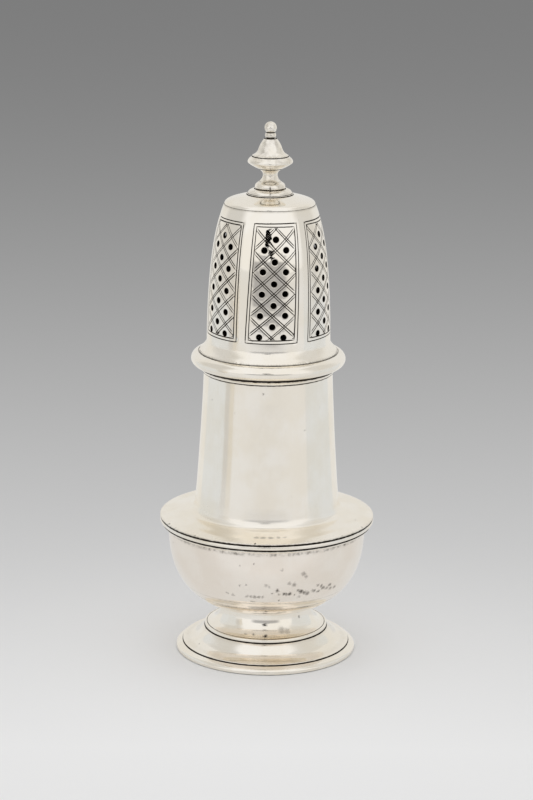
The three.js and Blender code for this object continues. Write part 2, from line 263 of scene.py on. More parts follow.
def silver(name, **changes):
    # old sterling silver, rubbed by hand for years: bright, softly waved by the hammer, black in the cuts
    look = {**silverLook, **changes}
    material, add = emptyMaterial(name)
    place = add("TexCoord").outputs["Object"]
    smooth = {"interpolation_type": "SMOOTHSTEP"}
    patches, grain, breakUp, hammer, blotches = [
        add("TexNoise", {"Vector": place, "Scale": 1 / (look[size] * mm), "Detail": detail,
                         "Roughness": rough})
        for size, detail, rough in (("patch", 4, 0.55), ("grainSize", 3, 0.6), ("breakSize", 4, 0.6),
                                    ("dentSize", 1, 0.3), ("blotchSize", 5, 0.7))]
    lines = add("Mapping", {"Vector": place, "Rotation": look["hairTurn"], "Scale": look["hairStretch"]})
    hair = add("TexNoise", {"Vector": lines, "Scale": 1 / (look["hairGap"] * mm), "Detail": 2})

    # black in the cuts, and the painted contact shade at the foot ring's bottom edge: the mesh says where
    # they are, and noise wears the edge of it
    marked = add("Attribute", attribute_name="tarnishAndShade").outputs["Fac"]
    low, high = look["breakSpan"]
    uneven = add("MapRange", {"Value": breakUp, "From Min": low, "From Max": high,
                              "To Min": 1 - look["ragged"], "To Max": 1 + look["ragged"]})
    worn = add("Math", {0: marked, 1: uneven}, operation="MULTIPLY")
    black = add("MapRange", {"Value": worn, "From Min": look["blackFrom"], "From Max": look["blackTo"]},
                **smooth)

    # small pits, in some of the cells only
    cells = add("TexVoronoi", {"Vector": place, "Scale": 1 / (look["pitSpacing"] * mm)})
    pitHere = add("Math", {0: cells.outputs["Color"], 1: look["pitShare"]}, operation="LESS_THAN")
    low, high = [share * look["pitSize"] / look["pitSpacing"] for share in look["pitFade"]]
    pitShape = add("MapRange", {"Value": cells, "From Min": low, "From Max": high, "To Min": 1, "To Max": 0},
                   **smooth)
    dark = add("Math", {0: pitHere, 1: pitShape}, operation="MULTIPLY")

    # single stains that the real one has, and on the neck a painted dark reflection, each at its place on the
    # piece
    if look["spots"]:
        speckle = add("TexNoise", {"Vector": place, "Scale": 1 / (look["spotGrain"] * mm), "Detail": 3})
        offset = add("VectorMath", {0: speckle.outputs["Color"], 1: (0.5, 0.5, 0.5)}, operation="SUBTRACT")
        shifted = add("VectorMath", {0: offset, 1: (look["spotPull"] * mm,) * 3, 2: place},
                      operation="MULTIPLY_ADD")
        for turn, up, size, amount in look["spots"]:
            turn, radius = math.radians(turn), look["spotRadius"](up) * mm
            low, high = [share * size * mm for share in look["spotFade"]]
            centre = (radius * math.sin(turn), -radius * math.cos(turn), up * mm)
            away = add("VectorMath", {0: shifted, 1: centre}, operation="DISTANCE")
            stainAndReflection = add("MapRange", {"Value": away, "From Min": low, "From Max": high, "To Min": amount,
                                     "To Max": 0}, **smooth)
            dark = add("Math", {0: dark, 1: stainAndReflection}, operation="MAXIMUM")
    dark = add("Math", {0: dark, 1: black}, operation="MAXIMUM")

    # colour: two tones of metal, a brown film round the cuts, then black
    toned = add("Math", {0: hair, 1: look["hairTone"], 2: patches}, operation="MULTIPLY_ADD")
    low, high = [end + look["hairTone"] / 2 for end in look["patchSpan"]]
    warm = add("MapRange", {"Value": toned, "From Min": low, "From Max": high}, **smooth)
    metal = add("Mix", {"Factor": warm, "A": hexColour(look["clean"]), "B": hexColour(look["worn"])},
                data_type="RGBA")
    beside = add("MapRange", {"Value": worn, "From Min": look["filmFrom"], "From Max": look["blackTo"],
                              "To Max": look["filmAmount"]})
    low, high = look["blotchSpan"]
    blotched = add("MapRange", {"Value": blotches, "From Min": low, "From Max": high,
                                "To Max": look["blotchAmount"]})
    film = add("Math", {0: beside, 1: blotched}, operation="MAXIMUM")
    filmed = add("Mix", {"Factor": film, "A": metal, "B": hexColour(look["film"])}, data_type="RGBA")
    colour = add("Mix", {"Factor": dark, "A": filmed, "B": hexColour(look["sulphideAndPaintedDark"])}, data_type="RGBA")

    # rubbed metal is never even: softer in the patches and where it is handled, dull where it is black
    even = add("Math", {0: patches, 1: grain}, operation="ADD")
    half, (low, high) = look["roughnessSpread"] / 2, look["evenSpan"]
    rubbed = add("MapRange", {"Value": even, "From Min": low, "From Max": high,
                              "To Min": look["roughness"] - half, "To Max": look["roughness"] + half})
    low, high = look["softBelow"] * mm, (look["softBelow"] + look["softRise"]) * mm
    softer = add("MapRange", {"Value": add("SeparateXYZ", {"Vector": place}).outputs["Z"], "From Min": low,
                              "From Max": high, "To Min": look["softMore"], "To Max": 0})
    handled = add("Math", {0: rubbed, 1: softer}, operation="ADD")
    rough = add("Mix", {"Factor": dark, "A": handled, "B": look["blackRough"]})

    # relief: hammer marks, hairlines and the pits
    dented = add("Bump", {"Distance": look["dentDepth"] * mm, "Height": hammer})
    scratched = add("Bump", {"Distance": look["hairDepth"] * mm, "Height": hair, "Normal": dented})
    pitted = add("Bump", {"Distance": look["pitDepth"] * mm, "Height": dark, "Normal": scratched},
                 invert=True)

    shader = add("BsdfPrincipled", {"Base Color": colour, "Metallic": 1, "Roughness": rough,
                                    "Normal": pitted})
    add("OutputMaterial", {"Surface": shader})
    return material


# hammered up from sheet, then planished and rubbed: soft waves break the reflections
raisedSilver = silver("raised sterling silver, planished and hand rubbed")
# drawn through a plate: no hammer marks, so its highlights run on evenly round the piece
wireSilver = silver("drawn sterling wire, rubbed on its crown", dentDepth=0.01, roughness=0.14)
# cast in sand and turned: a fine grain with small pits, brown in blotches, so it looks duller
castSilver = silver("cast sterling silver, chased and rubbed", dentDepth=0.012, dentSize=3, roughness=0.16,
                    pitSpacing=1.6, pitSize=0.16, pitShare=0.2, patch=5, blotchAmount=0.4)
# polished flat before the graver cut it: the sharpest reflections, and crisp black lines
engravedSilver = silver("pierced and engraved sterling silver", roughness=0.055, roughnessSpread=0.02,
                        dentDepth=0.02, dentSize=6, pitShare=0.1, blackFrom=0.05, blackTo=0.3,
                        ragged=0.18, softBelow=105.5)
# left as it came from the stake: satin and grey
innerSilver = silver("unpolished sterling silver inside", roughness=0.42, roughnessSpread=0.1,
                     clean="#CFC7B6", worn="#B4A890", dentDepth=0.03, pitShare=0.3)
print("shared materials made")


# foot. In the sizes of each piece, a name with Dark is the (reach, amount) of a tarnish mark, except the foot
# ring's footDark, which is painted contact shade

bodySheet = 0.8  # mm, the sheet of the foot, bowl and neck

footRingSize = {
    "width": 3.2, "edge": 1.05, "round": 2.0, "corner": 0.35,
    # footDark is painted contact shade: it darkens the ring's bottom edge where it stands on the table
    "topDark": (0.5, 1.0), "footDark": (0.35, 0.7),
}


def footRing(r, h, size):
    inner, crown, corner = r - size["width"], r - size["round"], size["corner"]
    outline = joined(
        [(inner, 0)],
        arc((r - corner, corner), (corner, corner), -90, 0, 4),
        bend([(r, size["edge"]), (r - 0.15, (size["edge"] + h) / 2), (crown, h)], 10),
        [(inner, h)],
    )
    # the second mark is painted contact shade along the ring's bottom edge
    marks = [(crown - 0.3, h, *size["topDark"]), (r - 0.1, 0, *size["footDark"])]
    return outline, marks


footFlangeSize = {
    "lip": 0.5, "lipRound": 0.16, "seat": 1.4,
    "spread": (22.4, 1.2), "sweep": (23.2, 2.4),  # it runs in almost level, then sweeps up to the step
    "lineDark": (0.55, 1.0), "stepDark": (0.5, 1.0),
    "film": 0.12,  # brown where the cloth doesn't reach, above the lip and under the step
    "turning": {"dents": (0.3, 0.6, 1.0, 0.06, 8)},
}


def footFlange(r, h, size):
    sheet, step = bodySheet, sizeOf("foot_step")[0]
    inner, collar, edge = step - footStepSize["width"], step - 0.05, size["lipRound"]
    sweep = bend([(r, size["lip"]), size["spread"], size["sweep"], (collar, h)], 32)
    lip = arc((r - edge, size["lip"] - 0.05), (edge, 0.1), 0, 80, 5)
    under = [p for p in inward(sweep, sheet, 0.5) if p[1] > 0.1]
    outline = joined([(r, 0)], lip, sweep[1:], [(inner, h), (inner, h - sheet, 0.5)], under[1:],
                     [(r - size["seat"], 0, 0.5)])
    marks = [(r, 0, *size["lineDark"]), (step, h, *size["stepDark"]),
             (r - 1.6, 0.9, 1.7, size["film"]), (collar + 0.4, h - 0.6, 0.9, size["film"])]
    return outline, marks


footStepSize = {
    "width": 1.9, "footRound": 0.25, "topRound": 0.45,
    "footDark": (0.4, 1.0), "topDark": (0.3, 0.6),
}


def footStep(r, h, size):
    inner, low, high = r - size["width"], size["footRound"], size["topRound"]
    outline = joined(
        [(inner, 0)],
        arc((r - low, low), (low, low), -90, 0, 4),
        arc((r - high, h - high), (high, high), 0, 90, 6),
        [(inner, h)],
    )
    marks = [(r - 0.2, 0, *size["footDark"]), (inner + 1.1, h, *size["topDark"])]
    return outline, marks


footStemSize = {
    "reach": 4.7,
    "footDark": (0.3, 0.7), "topDark": (0.3, 0.25),
    # the order in a stain is given at "spots" in silverLook
    "stains": ((0, 9.3, 0.75, 1.0), (-13, 9.5, 0.55, 0.8), (19, 10.6, 1.5, 0.4), (25, 10.2, 1.4, 0.35),
               (-22, 9.4, 0.5, 0.4), (47, 13.5, 0.5, 0.5)),
    "turning": {"dents": (0.5, 0.3, 1.2, 0.05, 8)},
}


def stemRadiusAt(up):
    r, h = sizeOf("foot_stem")
    share = min(1, max(0, 1 - (up - seatOf("foot_stem")) / h))
    return r - footStemSize["reach"] * math.sqrt(1 - share * share)


def footStem(r, h, size):
    reach, sheet = size["reach"], bodySheet
    seatAngle = math.degrees(math.asin(h / (h + sheet)))
    outside = arc((r, h), (reach, h), 270, 180, 24)
    inside = [(*p, 0.5) for p in arc((r, h), (reach + sheet, h + sheet), 180, 180 + seatAngle, 16)]
    marks = [(r, 0, *size["footDark"]), (r - reach, h, *size["topDark"])]
    return joined(outside, inside), marks


# raised as above, with the brown that a cloth leaves in the corner low on the stem
stemSilver = silver("raised sterling silver, brown low on the stem", spots=footStemSize["stains"],
                    spotRadius=stemRadiusAt)
turnPiece("footRingWire", footRing, footRingSize, "foot_ring", wireSilver, "caster_body")
turnPiece("footFlangeSheet", footFlange, footFlangeSize, "foot_flange", raisedSilver, "caster_body")
turnPiece("footStepWire", footStep, footStepSize, "foot_step", wireSilver, "caster_body")
turnPiece("footStemSheet", footStem, footStemSize, "foot_stem", stemSilver, "caster_body")
print("foot made")


# bowl, girdle and neck

bowlSize = {
    # the line: from its flat base the curve aims far out and low, then turns up
    "base": 14.4, "lowReach": 10.5, "lowRise": 2.1, "highDrop": 13.8, "rise": 24.55,
    "scribed": ((8.1, 0.42), (6.8, 0.3), (5.55, 0.7)),  # scribed lines: mm above the base, darkness
    "scribedReach": 0.2,
    "baseDark": (0.5, 0.25), "jointDark": (1.3, 0.36),
    "stains": (
        (22, 34.5, 1.0, 0.45), (17, 31, 1.0, 0.5), (0, 31, 0.75, 0.35), (2, 30.5, 0.7, 0.35),
        (7, 29, 0.8, 0.8), (4, 28, 0.4, 0.6), (8, 27.5, 0.6, 0.45), (11, 27.5, 0.65, 0.8),
        (15, 27.5, 0.95, 0.8), (18, 27, 0.45, 0.8), (22, 28, 1.0, 0.8), (27, 27, 1.1, 0.6),
        (21.5, 26, 0.8, 0.35), (30, 28, 0.65, 0.35), (35, 27, 0.8, 0.65), (36, 29, 0.7, 0.6),
        (41, 27.5, 0.9, 0.5), (45, 27, 0.9, 0.5), (48.5, 27, 0.85, 0.5), (-21, 26.5, 0.7, 0.5),
        (-9.5, 26.5, 0.7, 0.45), (-7, 26.5, 0.75, 0.55), (-4.5, 26.5, 0.75, 0.55), (-2, 26.5, 0.7, 0.45),
        (-9, 24.5, 0.5, 0.5), (-7.5, 24.5, 0.5, 0.45), (8.5, 25, 0.45, 0.8), (-16, 30.5, 0.45, 0.5),
        (-12, 31, 0.45, 0.5), (-15.5, 37.5, 0.35, 0.6), (-7, 38.5, 0.4, 0.85), (9, 36.5, 0.55, 0.3),
        (12.5, 27.5, 0.8, 0.7), (24.5, 27.5, 0.9, 0.75), (31.5, 27.5, 0.9, 0.6), (38, 28, 0.9, 0.6),
        (43, 28.5, 0.8, 0.6), (33, 29.5, 0.7, 0.5), (20, 28.5, 0.7, 0.6), (-12, 26.5, 0.7, 0.4),
        (-25, 27, 0.6, 0.35), (14, 31.5, 0.8, 0.4), (24, 33.5, 0.9, 0.4),
    ),
    "turning": {"dents": (1.0, 4, 3.0, 0.1, 13)},
}


def bowlCurve():
    r, size = sizeOf("bowl")[0], bowlSize
    base, rise = size["base"], size["rise"]
    return bend([(base, 0), (base + size["lowReach"], size["lowRise"]), (r, rise - size["highDrop"]),
                 (r, rise)], 48)


def bowlRadiusAt(up):
    radii, heights = zip(*bowlCurve())
    return float(np.interp(up - seatOf("bowl"), heights, radii))


def bowlSheet(r, h, size):
    sheet, base = bodySheet, size["base"]
    outer = bowlCurve() + [(r, h)]
    inner = inward(outer, sheet, 0.28)
    outline = joined([(0, 0, 0.4)], outer, [(r - sheet, h, 0.3)], inner[1:-1],
                     [(base, sheet, 0.3), (0, sheet, 0.3)])
    joint = h - sizeOf("girdle_wire")[1] - 0.5
    marks = [(base + 0.2, 0, *size["baseDark"]), (r, joint, *size["jointDark"])]
    for up, amount in size["scribed"]:
        marks.append((bowlRadiusAt(up + seatOf("bowl")), up, size["scribedReach"], amount))
    return outline, marks


girdleSize = {
    "thick": 2.1, "slope": 1.5, "groove": 0.15,
    "grooveDark": (0.8, 1.1), "topDark": (0.65, 1.1), "footDark": (0.35, 0.45),
    "turning": {"sides": 192, "longest": 0.5},
}


def girdleWire(r, h, size):
    inner = sizeOf("bowl")[0] + 0.05
    top, lip, groove = inner + size["thick"], size["slope"], size["groove"]
    bead = h - lip - groove
    outline = joined(
        [(inner, 0), (inner + 0.15, 0)],
        bend([(inner + 0.15, 0), (top - 0.2, lip * 0.25), (top + 0.1, lip * 0.62), (top, lip)], 12),
        [(top - 0.25, lip + groove / 2)],
        arc((top, h - bead / 2), (r - top, bead / 2), -90, 90, 14),
        [(inner, h)],
    )
    marks = [(top - 0.1, lip + groove / 2, *size["grooveDark"]), (top + 0.3, h, *size["topDark"]),
             (inner + 0.1, 0, *size["footDark"])]
    return outline, marks


neckSize = {
    "edge": 0.25, "round": 0.4,
    # the shoulder runs in from its edge almost level, in two shallow waves: (how far in, height)
    "shoulder": ((2.0, 1.25), (3.0, 1.45), (4.4, 1.55), (5.5, 1.74), (7.0, 2.08), (8.2, 2.2), (9.05, 2.25)),
    "top": 20.9, "spread": 2.7, "swell": 0.9, "bend": 0.45, "footRise": 4.8,
    "edgeDark": (0.75, 1.2), "topDark": (0.55, 0.8),
    # pits along the shoulder's edge, a smear of painted dark reflection on its slope, then pits up the neck
    "stains": (
        (-66, 45.9, 0.5, 1.0), (-62.5, 45.8, 0.4, 0.8), (-58, 45.9, 0.4, 0.8), (-55.5, 45.8, 0.4, 0.8),
        (-41, 45.8, 0.45, 1.0), (-6, 45.9, 0.45, 1.0), (44, 45.8, 0.35, 0.8), (53, 45.8, 0.45, 0.9),
        (63, 45.9, 0.35, 0.7), (-6, 46.9, 1.0, 0.4), (-2, 46.9, 1.1, 0.45), (2.5, 46.9, 1.1, 0.5),
        (7, 46.9, 1.0, 0.4), (11, 46.9, 0.7, 0.3), (-4, 91.5, 0.4, 0.6), (-58, 87, 0.4, 0.5),
        (34, 79, 0.4, 0.5), (66, 77, 0.45, 0.6), (-30, 84.5, 0.35, 0.4), (52, 85, 0.35, 0.4),
        (-12, 66, 0.3, 0.35), (20, 58, 0.35, 0.35),
    ),
    # the radius that the stains and the painted smear lie at, up to a height above the table, then from a top
    # down over a run
    "stainsUpTo": ((46.5, 34.6), (48, 31)), "stainsTop": 94.2, "stainsRun": 44,
    "turning": {"sides": 192, "dents": (6.0, 1, 5.0, 0.09, 14)},
}


def neckRadiusAt(up):
    for most, radius in neckSize["stainsUpTo"]:
        if up < most:
            return radius
    return neckSize["top"] + neckSize["spread"] * (neckSize["stainsTop"] - up) / neckSize["stainsRun"]


def neckSheet(r, h, size):
    sheet = bodySheet
    top, foot, footRise = size["top"], size["top"] + size["spread"], size["footRise"]
    edge = arc((r - size["round"], size["edge"]), (size["round"],) * 2, -60, 60, 6)
    waves = [(r - across, up) for across, up in size["shoulder"]]
    outer = joined(
        edge,
        flowing([edge[-1], *waves], 6),
        bend([waves[-1], (foot + size["bend"], waves[-1][1] + 0.15), (foot, footRise)], 24),
        bend([(foot, footRise), (top + size["swell"], (footRise + h) / 2), (top, h)], 24),
    )
    inner = inward([p[:2] for p in outer[8:]], sheet, 0.28)
    outline = joined(outer, [(top - sheet, h, 0.3)], inner[1:], [(sizeOf("bowl")[0] - sheet, 0, 0.3)])
    marks = [(r - 0.35, 0, *size["edgeDark"]), (top, h + 0.05, *size["topDark"])]
    return outline, marks


mouthSize = {"lip": 0.7, "footDark": (0.35, 0.8), "topDark": (1.05, 1.0), "turning": {"longest": 0.5}}


def mouthWire(r, h, size):
    inner, foot = neckSize["top"] - bodySheet, r - size["lip"]
    outline = joined(
        [(inner, 0, 0.3)],
        flowing([(foot, 0), (foot + 0.1, h * 0.3), (r - 0.1, h * 0.6), (r, h * 0.85), (r - 0.15, h)], 4),
        [(inner + 0.2, h), (inner, h - 0.2, 0.3)],
    )
    marks = [(foot, 0, *size["footDark"]), (r - 0.15, h, *size["topDark"])]
    return outline, marks


# a little warmer than the rest, and its scribed lines are broken where cloths have worn them
bowlSilver = silver("raised sterling silver, stained low on the bowl", spots=bowlSize["stains"],
                    spotRadius=bowlRadiusAt, pitShare=0.2, ragged=0.75,
                    blackFrom=0.12, blackTo=0.95, clean="#FBF4EB", worn="#F7EEE3")
# pits break the light along the shoulder's edge, a smear of painted dark reflection lies on its slope, and
# below softBelow its reflections blur
neckSilver = silver("raised sterling silver, pitted along its edge", spots=neckSize["stains"],
                    spotRadius=neckRadiusAt, softBelow=52)
turnPiece("bowlSheet", bowlSheet, bowlSize, "bowl", bowlSilver, "caster_body")
turnPiece("girdleBeadWire", girdleWire, girdleSize, "girdle_wire", wireSilver, "caster_body")
turnPiece("neckSheet", neckSheet, neckSize, "neck", neckSilver, "caster_body")
turnPiece("mouthBeadWire", mouthWire, mouthSize, "mouth_ring", wireSilver, "caster_body")
print("bowl, girdle and neck made")


# cover: rim, sleeve and pierced wall

coverSheet = 0.7  # mm, the sheet of the cover

rimSize = {
    "width": 5.15, "seat": 1.7, "top": 2.4,
    "topDark": (0.25, 0.55), "footDark": (0.75, 1.2),
    "turning": {"sides": 192, "dents": (0.2, 0.2, 0.8, 0.04, 9)},
}


def coverRim(r, h, size):
    inner = r - size["width"]
    seat, top = inner + size["seat"], inner + size["top"]
    outline = joined(
        [(inner, 0, 0.3), (seat, 0)],
        arc((seat, h / 2), (r - seat, h / 2), -90, 0, 14),
        arc((top, h / 2), (r - top, h / 2), 0, 90, 14),
        [(inner, h)],
    )
    marks = [(top + 0.35, h, *size["topDark"]), (seat + 1.8, 0.4, *size["footDark"])]
    return outline, marks


sleeveSize = {
    "chamfer": 0.2,
    "lineDrop": 5.2, "lineDark": (0.8, 0.6),  # the line that the neck has rubbed
    "turning": {"sides": 128, "longest": 1.6},
}


def coverSleeve(r, h, size):
    inner, slant = r - coverSheet, size["chamfer"]
    outline = joined([(inner + slant, 0), (r - slant, 0), (r, slant), (r, h), (inner, h), (inner, slant)])
    marks = [(r, h - size["lineDrop"], *size["lineDark"])]
    return outline, marks


wallSize = {
    "standout": 0.15, "flareEdge": 0.25, "flareRound": 0.12, "flareRise": 3.35,
    "taper": 3.4, "tuck": 1.95,
}


panelCut = {
    "seed": 11,
    "count": 6,
    "edgeTurn": -25.3,  # degrees, where one sixth of the wall meets the next
    "middles": (4.85, 64.8, 124.5, 184.9, 244.6, 304.8),  # degrees, each panel's middle at mid height
    "leans": (0.125, 0.10, 0.08, 0.11, 0.06, 0.015),  # degrees a millimetre, cut by eye
    "halfOuter": 8.45, "halfInner": 7.5,  # mm from the middle to the border's two lines
    "lowOuter": 3.2, "highOuter": 41.0,  # mm above the flare
    "lowInner": 4.15, "highInner": 40.05,
    "cellAcross": 3.9, "cellUp": 3.455,  # half a diamond
    "firstHole": 36.2,
    "sideDrop": 3.3,
    "rows": 5,
    "pairGap": 0.34,  # half the gap of a double line
    "cutHalf": 0.175, "cutDepth": 0.15,
    "sunk": 0.045, "sunkReach": 1.5,  # the metal sinks beside a cut, so each diamond is a low pillow
    "holeRadius": 0.94, "dishRadius": 1.3, "dishDepth": 0.05,
    "holeSides": 24,
    "gridStep": 0.8,
    "seamSteps": 40,
    "crease": 28,  # degrees, above which an edge of a cut stays sharp
    "holeDark": 0.45, "topDark": 0.15, "flareDark": 0.22,  # tarnish at the holes and both ends
}


def wallRadiusAt(up):
    # the wall's radius at a height above the flare's underside: a rounded edge, a flare, then a taper
    radius = sizeOf("cover_sleeve")[0] + wallSize["standout"]
    flareRadius, height = sizeOf("cover_wall")
    rise, edge = wallSize["flareRise"], wallSize["flareEdge"]
    if up <= edge:
        return flareRadius - wallSize["flareRound"] * (1 - up / edge) ** 2
    if up < rise:
        middle = (radius + coverSheet, rise / 2)
        low, high = 0.0, 1.0
        for _ in range(30):
            t = (low + high) / 2
            reached = (1 - t) ** 2 * edge + 2 * t * (1 - t) * middle[1] + t * t * rise
            low, high = (t, high) if reached < up else (low, t)
        return (1 - t) ** 2 * flareRadius + 2 * t * (1 - t) * middle[0] + t * t * radius
    share = (up - rise) / (height - rise)
    return radius - wallSize["taper"] * share ** 2 - wallSize["tuck"] * share ** 6


class Stroke:
    # one pull of the graver: a centre line with its half width and depth
    def __init__(self, start, end, pull, wide=1.0):
        a, b = Vector(start), Vector(end)
        steps = max(2, round((b - a).length / 1.1))
        side = Vector((-(b - a).y, (b - a).x)).normalized()
        bow = pull.uniform(-0.06, 0.06)
        self.line = []
        for i in range(steps + 1):
            share = i / steps
            sway = bow * math.sin(math.pi * share) + (pull.uniform(-0.02, 0.02) if 0 < i < steps else 0)
            self.line.append(a.lerp(b, share) + side * sway)
        self.half = panelCut["cutHalf"] * wide * pull.uniform(0.85, 1.15)
        self.depth = panelCut["cutDepth"] * pull.uniform(0.75, 1.1)


def panelStrokes(pull):
    cut = panelCut
    strokes = []
    rise = wallSize["flareRise"]
    for half, low, high in ((cut["halfOuter"], cut["lowOuter"], cut["highOuter"]),
                            (cut["halfInner"], cut["lowInner"], cut["highInner"])):
        low, high = low + rise, high + rise
        corners = [(-half, low), (half, low), (half, high), (-half, high)]
        corners = [(x + pull.uniform(-0.12, 0.12), y + pull.uniform(-0.12, 0.12)) for x, y in corners]
        for a, b in zip(corners, corners[1:] + corners[:1]):
            a, b = Vector(a), Vector(b)
            over = (b - a).normalized()
            start, end = a - over * pull.uniform(0.05, 0.3), b + over * pull.uniform(0.05, 0.3)
            strokes.append(Stroke(start, end, pull, 1.1))
    half, low, high = cut["halfInner"] - 0.1, cut["lowInner"] + rise + 0.1, cut["highInner"] + rise - 0.1
    zero = cut["firstHole"] + rise
    for way in (1, -1):
        for n in range(-13, 5, 2):
            shift = pull.uniform(-0.05, 0.05)
            for pair in (-1, 1):
                offset = n + shift + pair * cut["pairGap"] / 2.59 * pull.uniform(0.85, 1.1)
                heightAt = lambda x: zero + cut["cellUp"] * (offset - way * x / cut["cellAcross"])
                acrossAt = lambda y: way * cut["cellAcross"] * (offset - (y - zero) / cut["cellUp"])
                xs = sorted([acrossAt(low), acrossAt(high)])
                x0, x1 = max(-half, xs[0]), min(half, xs[1])
                if x1 - x0 < 0.7:
                    continue
                x0 += pull.uniform(-0.1, 0.25)
                x1 -= pull.uniform(-0.1, 0.25)
                wide = pull.uniform(0.75, 1.0)
                strokes.append(Stroke((x0, heightAt(x0)), (x1, heightAt(x1)), pull, wide))
    return strokes


def panelHoles(pull):
    cut = panelCut
    holes = []
    for column in (-1, 0, 1):
        for row in range(cut["rows"]):
            drop = 2 * cut["cellUp"] * row + (cut["sideDrop"] if column else 0)
            across = column * cut["cellAcross"] + pull.uniform(-0.14, 0.14)
            up = wallSize["flareRise"] + cut["firstHole"] - drop + pull.uniform(-0.12, 0.12)
            holes.append(Vector((across, up)))
    return holes


def alongSegment(points, a, b):
    # where along a segment each point lies, 0 to 1, and how far off the segment it is
    share = np.clip(((points - a) @ (b - a)) / ((b - a) @ (b - a)), 0, 1)
    return share, np.linalg.norm(points - (a + share[:, None] * (b - a)), axis=1)


def cutDepths(points, strokes):
    # depth of the deepest stroke over each point, and how far off the nearest stroke is
    depth = np.zeros(len(points))
    nearest = np.full(len(points), 99.0)
    for stroke in strokes:
        line = np.array([tuple(p) for p in stroke.line])
        lengths = np.linalg.norm(line[1:] - line[:-1], axis=1)
        along = np.concatenate([[0], np.cumsum(lengths)])
        for a, b, start, length in zip(line, line[1:], along, lengths):
            share, away = alongSegment(points, a, b)
            fromEnd = np.minimum(start + share * length, along[-1] - start - share * length)
            taper = np.clip(fromEnd / 0.5, 0.02, 1)
            depth = np.maximum(depth, stroke.depth * taper * np.clip(1 - away / (stroke.half * taper), 0, 1))
            nearest = np.minimum(nearest, away)
    return depth, nearest


def sector(index, pull):
    # one sixth of the wall, laid flat: x is round the wall and y is up it, in mm
    cut = panelCut
    height = sizeOf("cover_wall")[1]
    perDegree = math.pi * sizeOf("cover_sleeve")[0] / 180
    halfWide = 30 * perDegree
    sectorMiddle = cut["edgeTurn"] + 30 + 60 * index
    shift = (cut["middles"][index] - sectorMiddle) * perDegree
    lean = cut["leans"][index] * perDegree
    rise = wallSize["flareRise"]
    middleUp = (cut["lowOuter"] + cut["highOuter"]) / 2 + rise

    def onWall(p):
        return Vector((p.x + shift + lean * (p.y - middleUp), p.y))

    def stretchAt(p):
        # the wall is laid flat at the sleeve's radius, so a round hole higher up is wider here
        return sizeOf("cover_sleeve")[0] / wallRadiusAt(p.y)

    def awayFrom(p, places):
        return np.hypot((places[:, 0] - p.x) / stretchAt(p), places[:, 1] - p.y)

    strokes, holes = panelStrokes(pull), [onWall(p) for p in panelHoles(pull)]
    for stroke in strokes:
        stroke.line = [onWall(p) for p in stroke.line]

    points, edges = [], []

    def addLine(line, closed=False):
        first = len(points)
        points.extend(line)
        count = len(line)
        edges.extend((first + i, first + (i + 1) % count) for i in range(count if closed else count - 1))

    flare = [rise * (i / 14) for i in range(15)]
    rows = max(1, round((height - rise) / cut["gridStep"]))
    levels = flare + [rise + (height - rise) * i / rows for i in range(1, rows + 1)]
    across = [halfWide * (2 * i / cut["seamSteps"] - 1) for i in range(cut["seamSteps"] + 1)]
    frameLine = [Vector((x, 0)) for x in across[:-1]] + [Vector((halfWide, y)) for y in levels[:-1]]
    frameLine += [Vector((x, height)) for x in across[:0:-1]]
    frameLine += [Vector((-halfWide, y)) for y in levels[:0:-1]]
    addLine(frameLine, closed=True)

    for stroke in strokes:
        line = stroke.line
        along = [0.0]
        for a, b in zip(line, line[1:]):
            along.append(along[-1] + (b - a).length)
        sides = ([], [])
        for i, p in enumerate(line):
            before, after = line[max(i - 1, 0)], line[min(i + 1, len(line) - 1)]
            way = (after - before).normalized()
            taper = min(1.0, min(along[i], along[-1] - along[i]) / 0.5)
            for side, sign in zip(sides, (-1, 1)):
                side.append(p + Vector((-way.y, way.x)) * sign * stroke.half * taper)
        addLine(line)
        addLine(line[:1] + sides[0][1:-1] + line[-1:])
        addLine(line[:1] + sides[1][1:-1] + line[-1:])

    rings = [cut["holeRadius"], (cut["holeRadius"] + cut["dishRadius"]) / 2, cut["dishRadius"]]
    for hole in holes:
        for radius in rings:
            addLine([hole + Vector((math.cos(t) * stretchAt(hole), math.sin(t))) * radius for t in
                     (2 * math.pi * i / cut["holeSides"] for i in range(cut["holeSides"]))], closed=True)

    # free points between the cuts keep the wall round
    free = []
    columns = round(2 * halfWide / cut["gridStep"])
    for row, y in enumerate(levels[1:-1]):
        for i in range(1, columns):
            x = halfWide * (2 * (i + 0.5 * (row % 2)) / columns - 1)
            if abs(x) < halfWide - 0.3:
                free.append((x, y))
    free = np.array(free)
    clear = np.ones(len(free), bool)
    for a, b in edges:
        clear &= alongSegment(free, np.array(points[a]), np.array(points[b]))[1] > 0.3
    points.extend(Vector(p) for p in free[clear])

    flat, _, triangles, *_ = delaunay_2d_cdt(points, edges, [], 0, 1e-5, False)
    flat = np.array([tuple(p) for p in flat])
    centres = flat[np.array(triangles)].mean(axis=1)
    keep = np.ones(len(triangles), bool)
    for hole in holes:
        keep &= awayFrom(hole, centres) > cut["holeRadius"] * 0.99
    triangles = [tuple(t) for t, k in zip(triangles, keep) if k]

    grooves, nearest = cutDepths(flat, strokes)
    dish, rims = np.zeros(len(flat)), np.zeros(len(flat))
    for hole in holes:
        away = awayFrom(hole, flat)
        share = np.clip((cut["dishRadius"] - away) / (cut["dishRadius"] - cut["holeRadius"]), 0, 1)
        dish = np.maximum(dish, cut["dishDepth"] * share ** 2)
        rims = np.maximum(rims, cut["holeDark"] * np.clip(1 - (away - cut["holeRadius"]) / 0.08, 0, 1))
    near = np.clip(1 - nearest / cut["sunkReach"], 0, 1)
    depth = np.maximum(grooves, dish) + cut["sunk"] * near * near * (3 - 2 * near)
    tarnishAndShade = np.maximum(grooves / cut["cutDepth"], rims)
    return flat, triangles, depth, tarnishAndShade, halfWide, perDegree, sectorMiddle


